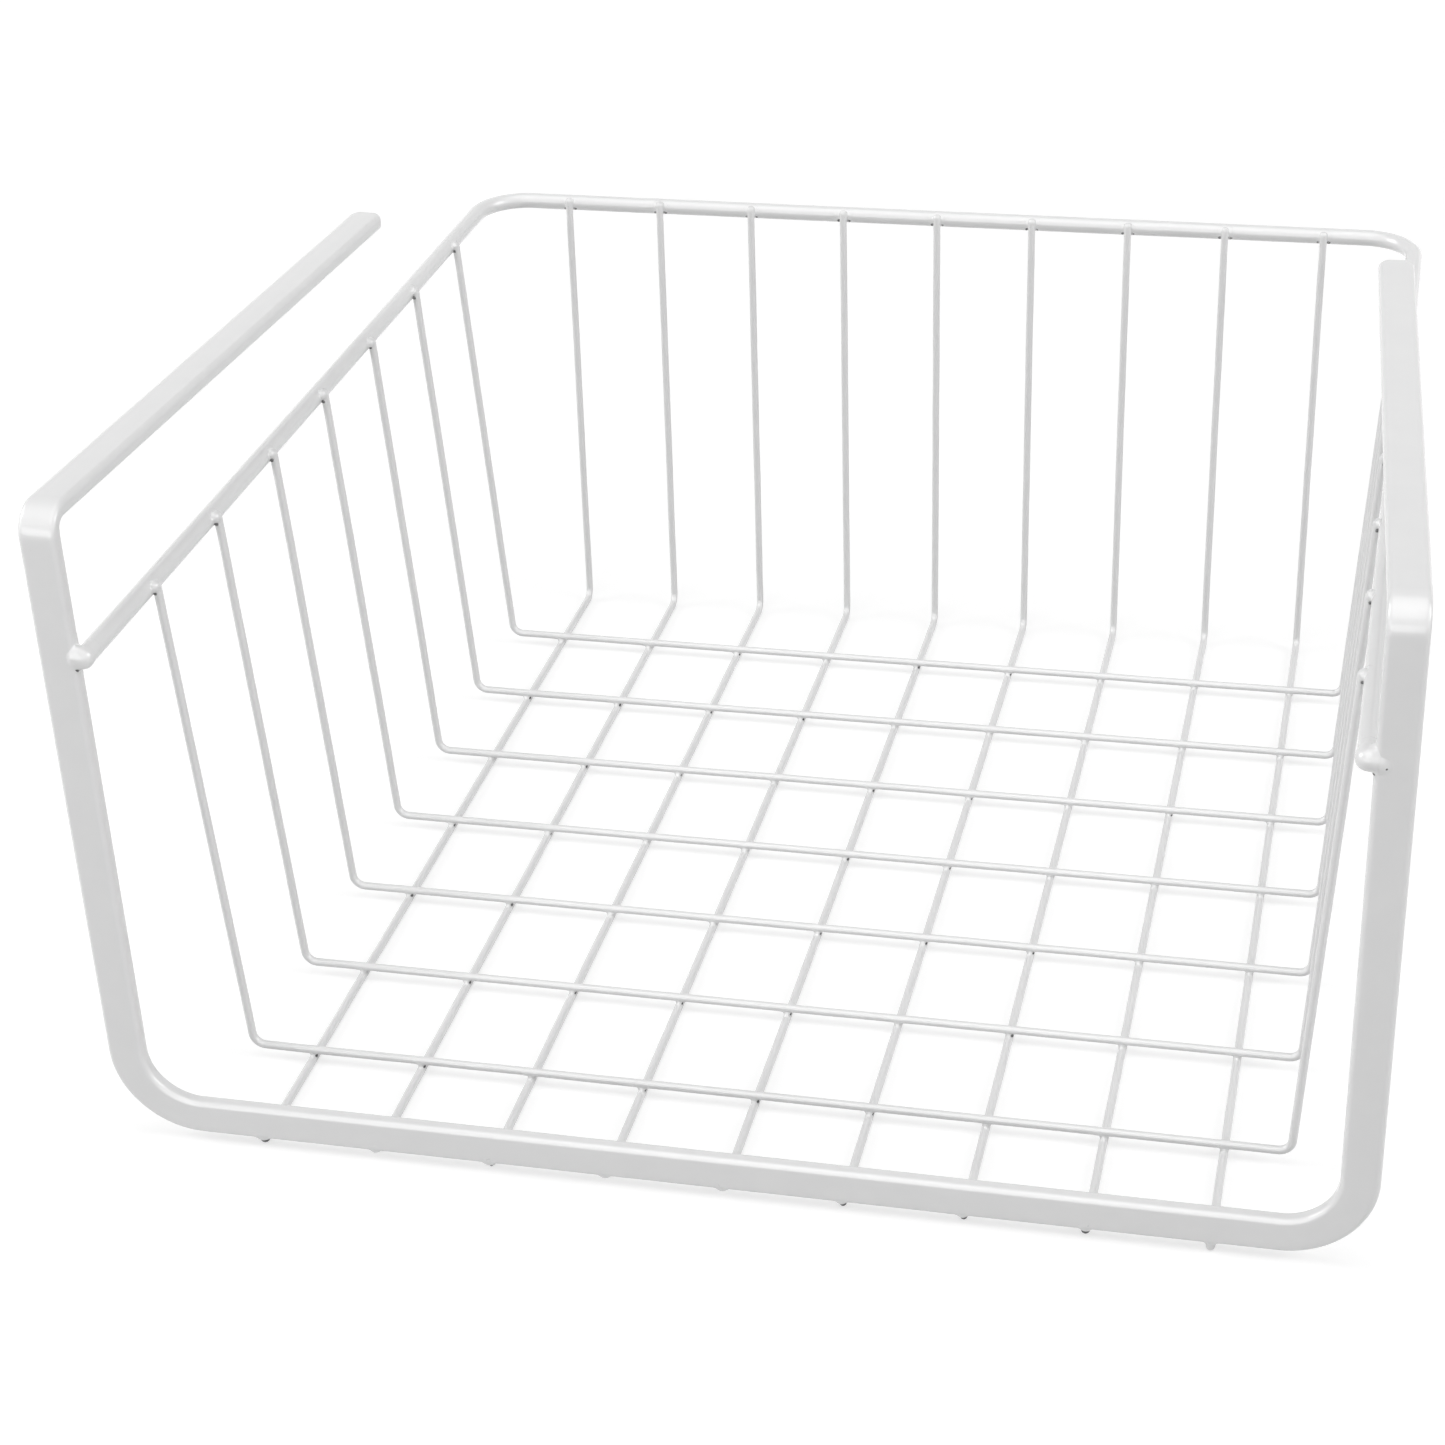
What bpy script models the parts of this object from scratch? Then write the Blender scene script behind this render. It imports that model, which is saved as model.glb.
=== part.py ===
"""Under shelf basket: a welded steel wire basket that hangs from a shelf board.

One flat bar is bent into a hanger frame. Its two arms lie on top of the board, its legs
come down in front of the board and its bottom bar joins them. A round rim rod is coped
to the legs and runs round the top of the basket. Cross wires bent to a U hang inside the rim
rod, and long wires bent to an L run under them, under the bottom bar and up the back.
Every piece is welded to its neighbours, so nothing moves.

Metres, +Z up, +X to the right, the open front towards -Y. The long wires stand on z = 0
and the origin is the middle of the basket's footprint.
"""
import math

import bmesh
import bpy
from mathutils import Vector

# Stock sizes
WIRE_DIAMETER = 0.0022
ROD_DIAMETER = 0.0048
BAR_WIDTH = 0.0094
BAR_THICKNESS = 0.0042
BAR_EDGE_RADIUS = 0.0016
SEAT_GAP = 0.0003

# Basket sizes, between the centre lines of the wires and rods
FLOOR_WIDTH = 0.273
FLOOR_DEPTH = 0.312
SIDE_WALL_FLARE = 0.011
BACK_WALL_FLARE = 0.010
RIM_HEIGHT = 0.138
LONG_WIRE_COUNT = 9
LONG_WIRE_SIDE_SETBACK = 0.0165
CROSS_WIRE_COUNT = 7
CROSS_WIRE_FRONT_SETBACK = 0.0365
CROSS_WIRE_BACK_SETBACK = 0.0355

# Hanger frame sizes
FRAME_HEIGHT = 0.176
ARM_LENGTH = 0.201
ARM_TOE_IN = 0.0102
LEG_STANDOFF = 0.0016

# Bends, measured at the centre line, and the ends of wires, rod and bar
ARM_BEND_RADIUS = 0.0052
FRAME_CORNER_RADIUS = 0.018
RIM_CORNER_RADIUS = 0.015
ROD_ELBOW_RADIUS = 0.0026
ROD_END_STUB = 0.0004
ROD_END_FORWARD = 0.0003
WIRE_BEND_RADIUS = 0.0035
WIRE_TIP_RISE = 0.0013
LONG_WIRE_FRONT_INSET = 0.0024
ARM_TIP_RADIUS = 0.0026
ARM_TIP_CROSSING = math.radians(12.0)

# How finely the round stretches are divided
BEND_STEP = math.radians(10.0)
PROFILE_CORNER_STEPS = 4
WIRE_BEVEL_RESOLUTION = 3
ROD_BEVEL_RESOLUTION = 5
SMOOTH_ANGLE = math.radians(30.0)

# A wire's tip is worn round: how far back each ring lies and how wide it is, in wire radii
WIRE_TIP_SHARES = ((0.0, 0.55), (0.2, 0.85), (0.6, 1.0))
# The rod is cut off square, and its ends are then coped to the legs
ROD_TIP_SHARES = ((0.0, 1.0),)

# The walls flare from the floor up to the rim, and the wires share out the floor evenly
RIM_WIDTH = FLOOR_WIDTH + 2 * SIDE_WALL_FLARE
RIM_DEPTH = FLOOR_DEPTH + BACK_WALL_FLARE
LONG_WIRE_PITCH = (FLOOR_WIDTH - 2 * LONG_WIRE_SIDE_SETBACK) / (LONG_WIRE_COUNT - 1)
CROSS_WIRE_SPAN = FLOOR_DEPTH - CROSS_WIRE_FRONT_SETBACK - CROSS_WIRE_BACK_SETBACK
CROSS_WIRE_PITCH = CROSS_WIRE_SPAN / (CROSS_WIRE_COUNT - 1)

# Heights of the layers, one welded on the other
LONG_WIRE_Z = WIRE_DIAMETER / 2
CROSS_WIRE_Z = LONG_WIRE_Z + WIRE_DIAMETER + SEAT_GAP
BAR_Z = WIRE_DIAMETER + SEAT_GAP + BAR_WIDTH / 2
ARM_Z = FRAME_HEIGHT - BAR_THICKNESS / 2

# The flat bar's section without its rounded edges
BAR_HALF_WEB = BAR_WIDTH / 2 - BAR_EDGE_RADIUS
BAR_HALF_FACE = BAR_THICKNESS / 2 - BAR_EDGE_RADIUS

# Where the welded neighbours meet
WIRE_ON_ROD = (ROD_DIAMETER + WIRE_DIAMETER) / 2 + SEAT_GAP
LEG_INNER_X = RIM_WIDTH / 2 + LEG_STANDOFF
LEG_X = LEG_INNER_X + BAR_WIDTH / 2
LEG_FACE_Y = BAR_THICKNESS / 2

# The arms run back from the legs and toe in
ARM_TIP_X = LEG_X - ARM_TOE_IN
ARM_TOE_ANGLE = math.atan2(ARM_TOE_IN, ARM_LENGTH)

# The rim rod's turned-out ends, cut by a plane just inside the legs
ROD_CUT_X = LEG_INNER_X - SEAT_GAP
ELBOW_OUTER_RADIUS = ROD_ELBOW_RADIUS + ROD_DIAMETER / 2
ELBOW_CUT_REACH = ROD_ELBOW_RADIUS - (ROD_CUT_X - RIM_WIDTH / 2)
ELBOW_CUT_DROP = math.sqrt(ELBOW_OUTER_RADIUS ** 2 - ELBOW_CUT_REACH ** 2)

# The footprint runs from the front of the rod's elbows to the back of the rim rod
RIM_FRONT_Y = ROD_ELBOW_RADIUS - ROD_END_FORWARD - ELBOW_CUT_DROP
RIM_BACK_Y = RIM_DEPTH + ROD_DIAMETER / 2
FOOTPRINT_MIDDLE_Y = (RIM_FRONT_Y + RIM_BACK_Y) / 2

# Colours of the coated steel
COAT_COLOUR = (0.86, 0.86, 0.86, 1.0)
COAT_ROUGHNESS = 0.38
COAT_METALLIC = 0.0

# Overrun of the cutters past the faces that they cut
CUT_OVERRUN = 0.001


def clear_scene():
    for scene_object in list(bpy.data.objects):
        bpy.data.objects.remove(scene_object, do_unlink=True)


def new_collection(name):
    collection = bpy.data.collections.new(name)
    bpy.context.scene.collection.children.link(collection)
    return collection


def coat_material(name):
    """White semi-gloss powder coat, one material for each piece."""
    material = bpy.data.materials.new(name + "_coat")
    material.use_nodes = True
    shader = material.node_tree.nodes["Principled BSDF"]
    shader.inputs["Base Color"].default_value = COAT_COLOUR
    shader.inputs["Roughness"].default_value = COAT_ROUGHNESS
    shader.inputs["Metallic"].default_value = COAT_METALLIC
    return material


def bent_route(corners, radii):
    """Points along straight runs joined by arcs, one radius for each inner corner."""
    points = [Vector(corners[0])]
    for before, corner, after, radius in zip(corners, corners[1:], corners[2:], radii):
        corner = Vector(corner)
        inward = (Vector(before) - corner).normalized()
        outward = (Vector(after) - corner).normalized()
        turn = math.pi - inward.angle(outward)
        setback = radius * math.tan(turn / 2)
        start = corner + inward * setback
        to_centre = (inward + outward).normalized() * (radius / math.cos(turn / 2))
        centre = corner + to_centre
        spoke = start - centre
        steps = max(2, round(turn / BEND_STEP))
        for step in range(steps + 1):
            angle = turn * step / steps
            swing = spoke * math.cos(angle) - inward * radius * math.sin(angle)
            points.append(centre + swing)
    points.append(Vector(corners[-1]))
    return points


def with_tips(route, diameter, tip_shares):
    """The route's points with their radius shares, with the rings of both tips added."""
    radius = diameter / 2

    def tip(end, neighbour):
        along = (neighbour - end).normalized()
        return [(end + along * radius * back, share) for back, share in tip_shares]

    first = tip(route[0], route[1])
    last = tip(route[-1], route[-2])
    middle = [(point, 1.0) for point in route[1:-1]]
    return first + middle + last[::-1]


def round_tube(name, corners, radii, diameter, resolution, tip_shares, collection, parent):
    """A round wire or rod: a curve along the bent route with filled caps."""
    curve = bpy.data.curves.new(name, "CURVE")
    curve.dimensions = "3D"
    curve.twist_mode = "MINIMUM"
    curve.bevel_depth = diameter / 2
    curve.bevel_resolution = resolution
    curve.use_fill_caps = True
    rings = with_tips(bent_route(corners, radii), diameter, tip_shares)
    spline = curve.splines.new("POLY")
    spline.points.add(len(rings) - 1)
    spline.use_smooth = True
    for point, (place, share) in zip(spline.points, rings):
        point.co = (*place, 1.0)
        point.radius = share
    curve.materials.append(coat_material(name))
    tube = bpy.data.objects.new(name, curve)
    collection.objects.link(tube)
    tube.parent = parent
    return tube


def bar_profile(collection):
    """The flat bar's section: a rectangle with its four corners rounded."""
    curve = bpy.data.curves.new("bar_profile", "CURVE")
    curve.dimensions = "2D"
    curve.fill_mode = "NONE"
    outline = []
    quarters = ((1, 1, 0), (-1, 1, 1), (-1, -1, 2), (1, -1, 3))
    for side_x, side_y, quarter in quarters:
        for step in range(PROFILE_CORNER_STEPS + 1):
            angle = math.pi / 2 * (quarter + step / PROFILE_CORNER_STEPS)
            across = side_x * BAR_HALF_WEB + BAR_EDGE_RADIUS * math.cos(angle)
            through = side_y * BAR_HALF_FACE + BAR_EDGE_RADIUS * math.sin(angle)
            outline.append((across, through, 0.0, 1.0))
    spline = curve.splines.new("POLY")
    spline.points.add(len(outline) - 1)
    for point, place in zip(spline.points, outline):
        point.co = place
    spline.use_cyclic_u = True
    profile = bpy.data.objects.new("bar_profile", curve)
    profile.hide_render = True
    profile.display_type = "WIRE"
    collection.objects.link(profile)
    return profile


def frame_corners():
    """Corners of the hanger frame's centre line, from the left arm's tip to the right's."""
    left = [(-ARM_TIP_X, ARM_LENGTH, ARM_Z), (-LEG_X, 0.0, ARM_Z), (-LEG_X, 0.0, BAR_Z)]
    right = [(-x, y, z) for x, y, z in reversed(left)]
    return left + right


def frame_twist(place):
    """Turn of the bar about its own line: the legs twist to let the arms toe in."""
    leg_bottom = BAR_Z + FRAME_CORNER_RADIUS
    leg_top = ARM_Z - ARM_BEND_RADIUS
    rise = (place.z - leg_bottom) / (leg_top - leg_bottom)
    return -ARM_TOE_ANGLE * (1.0 - min(1.0, max(0.0, rise)))


def arm_tip_cutter(name, side, collection, parent):
    """Takes the two corners off one arm's square-cut end, in plan.

    Each rounding's arc crosses the bar's side and end at a small angle, so that the cut
    has no face that only grazes the bar.
    """
    curve = bpy.data.curves.new(name, "CURVE")
    curve.dimensions = "2D"
    curve.fill_mode = "BOTH"
    curve.extrude = BAR_THICKNESS / 2 + CUT_OVERRUN
    half_width = BAR_WIDTH / 2
    inset = ARM_TIP_RADIUS * math.cos(ARM_TIP_CROSSING)
    for edge in (-1, 1):
        rounding = []
        steps = round(math.pi / 2 / BEND_STEP)
        for step in range(steps + 1):
            angle = math.pi / 2 * step / steps
            across = half_width - inset + ARM_TIP_RADIUS * math.cos(angle)
            along = ARM_TIP_RADIUS * math.sin(angle) - inset
            rounding.append((edge * across, along))
        outside = [
            (edge * (half_width - inset), CUT_OVERRUN),
            (edge * (half_width + CUT_OVERRUN), CUT_OVERRUN),
            (edge * (half_width + CUT_OVERRUN), -inset),
        ]
        outline = rounding + outside
        spline = curve.splines.new("POLY")
        spline.points.add(len(outline) - 1)
        for point, (across, along) in zip(spline.points, outline):
            point.co = (across, along, 0.0, 1.0)
        spline.use_cyclic_u = True
    pattern = bpy.data.objects.new(name + "_outline", curve)
    collection.objects.link(pattern)
    pattern.location = (side * ARM_TIP_X, ARM_LENGTH, ARM_Z)
    pattern.rotation_euler = (0.0, 0.0, side * ARM_TOE_ANGLE)
    pattern.parent = parent
    cutter = curve_as_mesh(pattern, name, collection, parent)
    cutter.hide_render = True
    cutter.display_type = "WIRE"
    return cutter


def curve_as_mesh(source, name, collection, parent):
    """A welded mesh object in place of a curve object."""
    bpy.context.view_layer.update()
    depsgraph = bpy.context.evaluated_depsgraph_get()
    mesh = bpy.data.meshes.new_from_object(source.evaluated_get(depsgraph))
    mesh.name = name
    solid = bpy.data.objects.new(name, mesh)
    solid.matrix_basis = parent.matrix_world.inverted() @ source.matrix_world
    solid.parent = parent
    bpy.data.objects.remove(source, do_unlink=True)
    shape = bmesh.new()
    shape.from_mesh(mesh)
    bmesh.ops.remove_doubles(shape, verts=shape.verts, dist=SEAT_GAP / 10)
    bmesh.ops.recalc_face_normals(shape, faces=shape.faces)
    shape.to_mesh(mesh)
    shape.free()
    collection.objects.link(solid)
    return solid


def build_hanger_frame(collection, cutters, parent):
    """One flat bar, bent the flat way into the arms and the edge way into the U."""
    curve = bpy.data.curves.new("hanger_frame_line", "CURVE")
    curve.dimensions = "3D"
    curve.twist_mode = "MINIMUM"
    curve.bevel_mode = "OBJECT"
    profile = bar_profile(cutters)
    curve.bevel_object = profile
    curve.use_fill_caps = True
    radii = (ARM_BEND_RADIUS, FRAME_CORNER_RADIUS, FRAME_CORNER_RADIUS, ARM_BEND_RADIUS)
    route = bent_route(frame_corners(), radii)
    spline = curve.splines.new("POLY")
    spline.points.add(len(route) - 1)
    for point, place in zip(spline.points, route):
        point.co = (*place, 1.0)
        point.tilt = frame_twist(place)
    line = bpy.data.objects.new("hanger_frame_line", curve)
    collection.objects.link(line)
    line.parent = parent
    frame = curve_as_mesh(line, "hanger_frame", collection, parent)
    for side, side_name in ((-1, "left"), (1, "right")):
        cut_with(frame, arm_tip_cutter(side_name + "_tip_cutter", side, cutters, parent))
    finish_solid(frame)
    return frame


def leg_cope_cutter(name, side, collection, parent):
    """Takes off what the rod's turned-out end would have in common with a leg."""
    low = Vector((ROD_CUT_X, -ELBOW_OUTER_RADIUS, RIM_HEIGHT - ROD_DIAMETER))
    high = Vector((LEG_X + CUT_OVERRUN, LEG_FACE_Y + SEAT_GAP, RIM_HEIGHT + ROD_DIAMETER))
    middle = (low + high) / 2
    size = high - low
    shape = bmesh.new()
    bmesh.ops.create_cube(shape, size=1.0)
    bmesh.ops.scale(shape, verts=shape.verts, vec=size)
    mesh = bpy.data.meshes.new(name)
    shape.to_mesh(mesh)
    shape.free()
    cutter = bpy.data.objects.new(name, mesh)
    cutter.location = (side * middle.x, middle.y, middle.z)
    cutter.parent = parent
    cutter.hide_render = True
    cutter.display_type = "WIRE"
    collection.objects.link(cutter)
    return cutter


def cut_with(solid, cutter):
    cut = solid.modifiers.new(cutter.name, "BOOLEAN")
    cut.operation = "DIFFERENCE"
    cut.solver = "EXACT"
    cut.object = cutter


def finish_solid(solid):
    """Smooth shading with sharp cut edges, and the coat."""
    solid.data.shade_smooth()
    solid.data.set_sharp_from_angle(angle=SMOOTH_ANGLE)
    solid.data.materials.clear()
    solid.data.materials.append(coat_material(solid.name))


def build_rim_rod(collection, cutters, parent):
    """A round rod bent to a U in plan, with its ends turned out and coped to the legs."""
    half_width = RIM_WIDTH / 2
    end_x = half_width + ROD_ELBOW_RADIUS + ROD_END_STUB
    left = [
        (-end_x, -ROD_END_FORWARD, RIM_HEIGHT),
        (-half_width, -ROD_END_FORWARD, RIM_HEIGHT),
        (-half_width, RIM_DEPTH, RIM_HEIGHT),
    ]
    right = [(-x, y, z) for x, y, z in reversed(left)]
    radii = (ROD_ELBOW_RADIUS, RIM_CORNER_RADIUS, RIM_CORNER_RADIUS, ROD_ELBOW_RADIUS)
    line = round_tube(
        "rim_rod_line",
        left + right,
        radii,
        ROD_DIAMETER,
        ROD_BEVEL_RESOLUTION,
        ROD_TIP_SHARES,
        collection,
        parent,
    )
    rod = curve_as_mesh(line, "rim_rod", collection, parent)
    for side, side_name in ((-1, "left"), (1, "right")):
        cut_with(rod, leg_cope_cutter(side_name + "_cope_cutter", side, cutters, parent))
    finish_solid(rod)
    return rod


def wall_tip(floor_corner, on_rod):
    """Top end of a wire that stands on a floor corner and leans on the rim rod."""
    along = (Vector(on_rod) - Vector(floor_corner)).normalized()
    return Vector(on_rod) + along * WIRE_TIP_RISE


def build_cross_wire(number, collection, parent):
    """A U: up the left wall, across the floor over the long wires, up the right wall."""
    y = CROSS_WIRE_FRONT_SETBACK + (number - 1) * CROSS_WIRE_PITCH
    floor_corner = Vector((FLOOR_WIDTH / 2, y, CROSS_WIRE_Z))
    on_rod = Vector((RIM_WIDTH / 2 - WIRE_ON_ROD, y, RIM_HEIGHT))
    tip = wall_tip(floor_corner, on_rod)
    mirrored = Vector((-1.0, 1.0, 1.0))
    corners = [tip * mirrored, floor_corner * mirrored, floor_corner, tip]
    radii = (WIRE_BEND_RADIUS, WIRE_BEND_RADIUS)
    return round_tube(
        f"cross_wire_{number}",
        corners,
        radii,
        WIRE_DIAMETER,
        WIRE_BEVEL_RESOLUTION,
        WIRE_TIP_SHARES,
        collection,
        parent,
    )


def build_long_wire(number, collection, parent):
    """An L: under the bottom bar, along the floor and up the back wall to the rim rod."""
    x = (number - (LONG_WIRE_COUNT + 1) / 2) * LONG_WIRE_PITCH
    front = Vector((x, LONG_WIRE_FRONT_INSET - BAR_THICKNESS / 2, LONG_WIRE_Z))
    floor_corner = Vector((x, FLOOR_DEPTH, LONG_WIRE_Z))
    on_rod = Vector((x, RIM_DEPTH - WIRE_ON_ROD, RIM_HEIGHT))
    corners = [front, floor_corner, wall_tip(floor_corner, on_rod)]
    return round_tube(
        f"long_wire_{number}",
        corners,
        (WIRE_BEND_RADIUS,),
        WIRE_DIAMETER,
        WIRE_BEVEL_RESOLUTION,
        WIRE_TIP_SHARES,
        collection,
        parent,
    )


def main():
    clear_scene()
    collection = new_collection("under_shelf_basket")
    cutters = new_collection("cutters")
    datum = bpy.data.objects.new("front_bar_datum", None)
    collection.objects.link(datum)
    datum.location = (0.0, -FOOTPRINT_MIDDLE_Y, 0.0)
    bpy.context.view_layer.update()
    build_hanger_frame(collection, cutters, datum)
    build_rim_rod(collection, cutters, datum)
    for number in range(1, CROSS_WIRE_COUNT + 1):
        build_cross_wire(number, collection, datum)
    for number in range(1, LONG_WIRE_COUNT + 1):
        build_long_wire(number, collection, datum)


main()
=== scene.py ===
"""Under shelf basket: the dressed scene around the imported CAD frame.

Each CAD node is replaced by a finer sweep along the same line, and a weld with smooth
fillets is added where two pieces are joined. Metres, +Z up, the open front towards -Y.
Lengths along Y are measured from the middle of the bottom bar and then moved to the
row's frame.
"""
import math
import random

import bmesh
import bpy
import numpy as np
from mathutils import Matrix, Vector, noise


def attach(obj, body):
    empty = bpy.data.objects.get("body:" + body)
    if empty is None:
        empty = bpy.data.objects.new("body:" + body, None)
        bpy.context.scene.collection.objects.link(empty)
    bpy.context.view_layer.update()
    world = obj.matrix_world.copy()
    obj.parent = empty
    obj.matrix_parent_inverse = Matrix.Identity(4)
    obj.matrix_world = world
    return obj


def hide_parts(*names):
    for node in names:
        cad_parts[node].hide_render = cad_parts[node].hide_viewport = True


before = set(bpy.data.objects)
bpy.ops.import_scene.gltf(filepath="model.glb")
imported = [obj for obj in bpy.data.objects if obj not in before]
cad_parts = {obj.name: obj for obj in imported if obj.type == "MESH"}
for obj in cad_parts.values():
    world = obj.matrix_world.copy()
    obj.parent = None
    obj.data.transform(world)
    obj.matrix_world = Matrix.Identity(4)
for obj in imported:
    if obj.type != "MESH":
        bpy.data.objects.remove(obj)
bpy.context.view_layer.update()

# Stock sizes, as in the CAD
MM = 0.001
WIRE_RADIUS = 1.1 * MM
ROD_RADIUS = 2.4 * MM
BAR_WIDTH = 9.4 * MM
BAR_THICKNESS = 4.2 * MM
SEAT_GAP = 0.3 * MM

# Basket sizes between centre lines, as in the CAD
FLOOR_WIDTH = 273 * MM
FLOOR_DEPTH = 312 * MM
RIM_WIDTH = 295 * MM
RIM_DEPTH = 322 * MM
RIM_HEIGHT = 138 * MM
LONG_WIRE_COUNT = 9
LONG_WIRE_PITCH = 30 * MM
CROSS_WIRE_COUNT = 7
CROSS_WIRE_PITCH = 40 * MM
CROSS_WIRE_FRONT_SETBACK = 36.5 * MM

# Hanger frame and rod ends, as in the CAD
FRAME_HEIGHT = 176 * MM
ARM_LENGTH = 201 * MM
ARM_TOE_IN = 10.2 * MM
LEG_STANDOFF = 1.6 * MM
FRAME_CORNER_RADIUS = 18 * MM
RIM_CORNER_RADIUS = 15 * MM
ROD_ELBOW_RADIUS = 2.6 * MM
ROD_END_STUB = 0.4 * MM
ROD_END_FORWARD = 0.3 * MM
WIRE_BEND_RADIUS = 3.5 * MM
WIRE_TIP_RISE = 1.3 * MM
LONG_WIRE_FRONT_INSET = 2.4 * MM
ARM_TIP_RADIUS = 2.6 * MM

# Closer to the photo than the CAD is: the bar's edges, the arm bends' centre line and their
# inner face, the rear wires' tips, and how far welding has set all tips into the rod
BAR_EDGE_RADIUS = 1.4 * MM
ARM_BEND_RADIUS = 6.1 * MM
ARM_BEND_INNER_RADIUS = 2.2 * MM
BACK_TIP_RISE = 2.2 * MM
WELD_SINK = 0.9 * MM

# The long wires' front ends under the bar, wire 1 first, in millimetres: how far each stands
# forward of its place, and the radius of the dark speck painted on its end as shade
LONG_WIRE_END_SHIFTS = (0.1, -0.9, -0.1, -0.8, -0.9, -0.1, -0.1, 0.2, 1.8)
LONG_WIRE_END_SPECKS = (1.3, 0.0, 0.6, 0.0, 0.0, 0.9, 0.95, 1.15, 0.0)

# Derived places
LONG_WIRE_Z = WIRE_RADIUS
CROSS_WIRE_Z = 3 * WIRE_RADIUS + SEAT_GAP
BAR_Z = 2 * WIRE_RADIUS + SEAT_GAP + BAR_WIDTH / 2
ARM_Z = FRAME_HEIGHT - BAR_THICKNESS / 2
WIRE_ON_ROD = ROD_RADIUS + WIRE_RADIUS + SEAT_GAP
TIP_WELD_INSET = ROD_RADIUS + SEAT_GAP / 2 - WELD_SINK / 2
LEG_INNER_X = RIM_WIDTH / 2 + LEG_STANDOFF
LEG_X = LEG_INNER_X + BAR_WIDTH / 2
ARM_TIP_X = LEG_X - ARM_TOE_IN
ARM_TOE_ANGLE = math.atan2(ARM_TOE_IN, ARM_LENGTH)
ROD_CUT_X = LEG_INNER_X - SEAT_GAP
RIM_FRONT_Y = (
    ROD_ELBOW_RADIUS
    - ROD_END_FORWARD
    - math.sqrt(
        (ROD_ELBOW_RADIUS + ROD_RADIUS) ** 2
        - (ROD_ELBOW_RADIUS - ROD_CUT_X + RIM_WIDTH / 2) ** 2
    )
)
RIM_BACK_Y = RIM_DEPTH + ROD_RADIUS
MIDDLE_Y = (RIM_FRONT_Y + RIM_BACK_Y) / 2
TO_ROW = Vector((0.0, -MIDDLE_Y, 0.0))

# How finely the sweeps are divided
STRAIGHT_STEP = 5 * MM
BEND_STEP = math.radians(5.0)
WIRE_SIDES = 20
WIRE_TIP_STEPS = 6
ROD_SIDES = 36
BAR_CORNER_STEPS = 6
BAR_FLAT_STEPS = 4
ARM_TIP_STEPS = 8

# Shares of a wire's radius at its cut end: the end face, and where its rounding starts
WIRE_TIP_FACE = 0.42
WIRE_TIP_FLAT = 0.38

# Rounding of the edge of the arm tips' end faces
ARM_TIP_EDGE = 0.5 * MM

# Side of the block that copes a rod end
COPE_SIDE = 20 * MM

# Unevenness of bent and coated stock. WANDER_SEED fixes the vector noise, the rod's and the
# hanger's seeds set them apart from the wires, and WELD_SEED fixes the welds' draws
WIRE_WAVE = 0.07 * MM
ROD_WAVE = 0.05 * MM
BAR_WAVE = 0.035 * MM
WAVE_PER_METRE = 55.0
COAT_WAVE = 0.02 * MM
COAT_WAVE_PER_METRE = 260.0
BAR_COAT_WAVE_PER_METRE = 156.0
WANDER_SEED = 5
ROD_SEED = 31
HANGER_SEED = 41
WELD_SEED = 11

# Search along each ray from a weld's centre: steps, halvings, how far the shell stays inside
# the union, and the least share of the reach at which it stands
WELD_STEPS = 60
WELD_HALVINGS = 12
WELD_INSET = 0.006 * MM
WELD_LEAST_SHARE = 0.05

# How finely the shells are divided, how far they reach from their centres, and how far the
# pieces that meet are taken along
WELD_DIVISIONS = 5
ROD_END_DIVISIONS = 7
CROSSING_REACH = 2.6 * MM
TIP_REACH = 3.0 * MM
BAR_WELD_REACH = 3.2 * MM
ROD_END_REACH = 5.5 * MM
CROSSING_RUN = 9 * MM
TIP_RUN = 12 * MM
SEAT_RUN = 12 * MM
ROD_END_RUN = 30 * MM

# Blends of the nuggets with the pieces, and of a rod end with its leg
CROSSING_NUGGET_BLEND = 0.4 * MM
TIP_NUGGET_BLEND = 0.35 * MM
BAR_NUGGET_BLEND = 0.8 * MM
ROD_END_BLEND = 0.9 * MM

# Least and most of the welds' draws: how fat a nugget is, and in millimetres how far it
# stands off, the blend of the pieces, and the radius or the shift of a speck of painted shade
CROSSING_FAT_RANGE = (0.85, 1.15)
CROSSING_LEAN_RANGE = (-0.15, 0.15)
CROSSING_BLEND_RANGE = (0.4, 0.8)
CROSSING_SPECK_RANGE = (0.38, 0.5)
TIP_FAT_RANGE = (0.85, 1.2)
TIP_DROP_RANGE = (-0.3, 0.3)
SIDE_TIP_BLEND_RANGE = (0.2, 0.4)
SIDE_TIP_SPECK_RANGE = (0.36, 0.5)
BACK_TIP_BLEND_RANGE = (0.15, 0.3)
BACK_TIP_SPECK_RANGE = (0.34, 0.5)
BAR_WELD_FAT_RANGE = (0.9, 1.2)
BAR_WELD_BLEND_RANGE = (0.5, 0.9)
END_SPECK_SHIFT_RANGE = (-0.2, 0.2)

# Specks of painted shade sit at most crossings of the first six long wires, and at few of the
# others
SPECKED_LONG_WIRES = 6
SPECK_CHANCE = 0.72
SPECK_CHANCE_BEYOND = 0.15

# A speck's painted shade is full up to the first number of its radii and gone from the second
# one.
# At a long wire's front end its middle lies behind the end face by a share of its radius
SHADE_SPECK_FULL = 1.1
SHADE_SPECK_EDGE = 1.5
END_SPECK_SETBACK = 0.3
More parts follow.
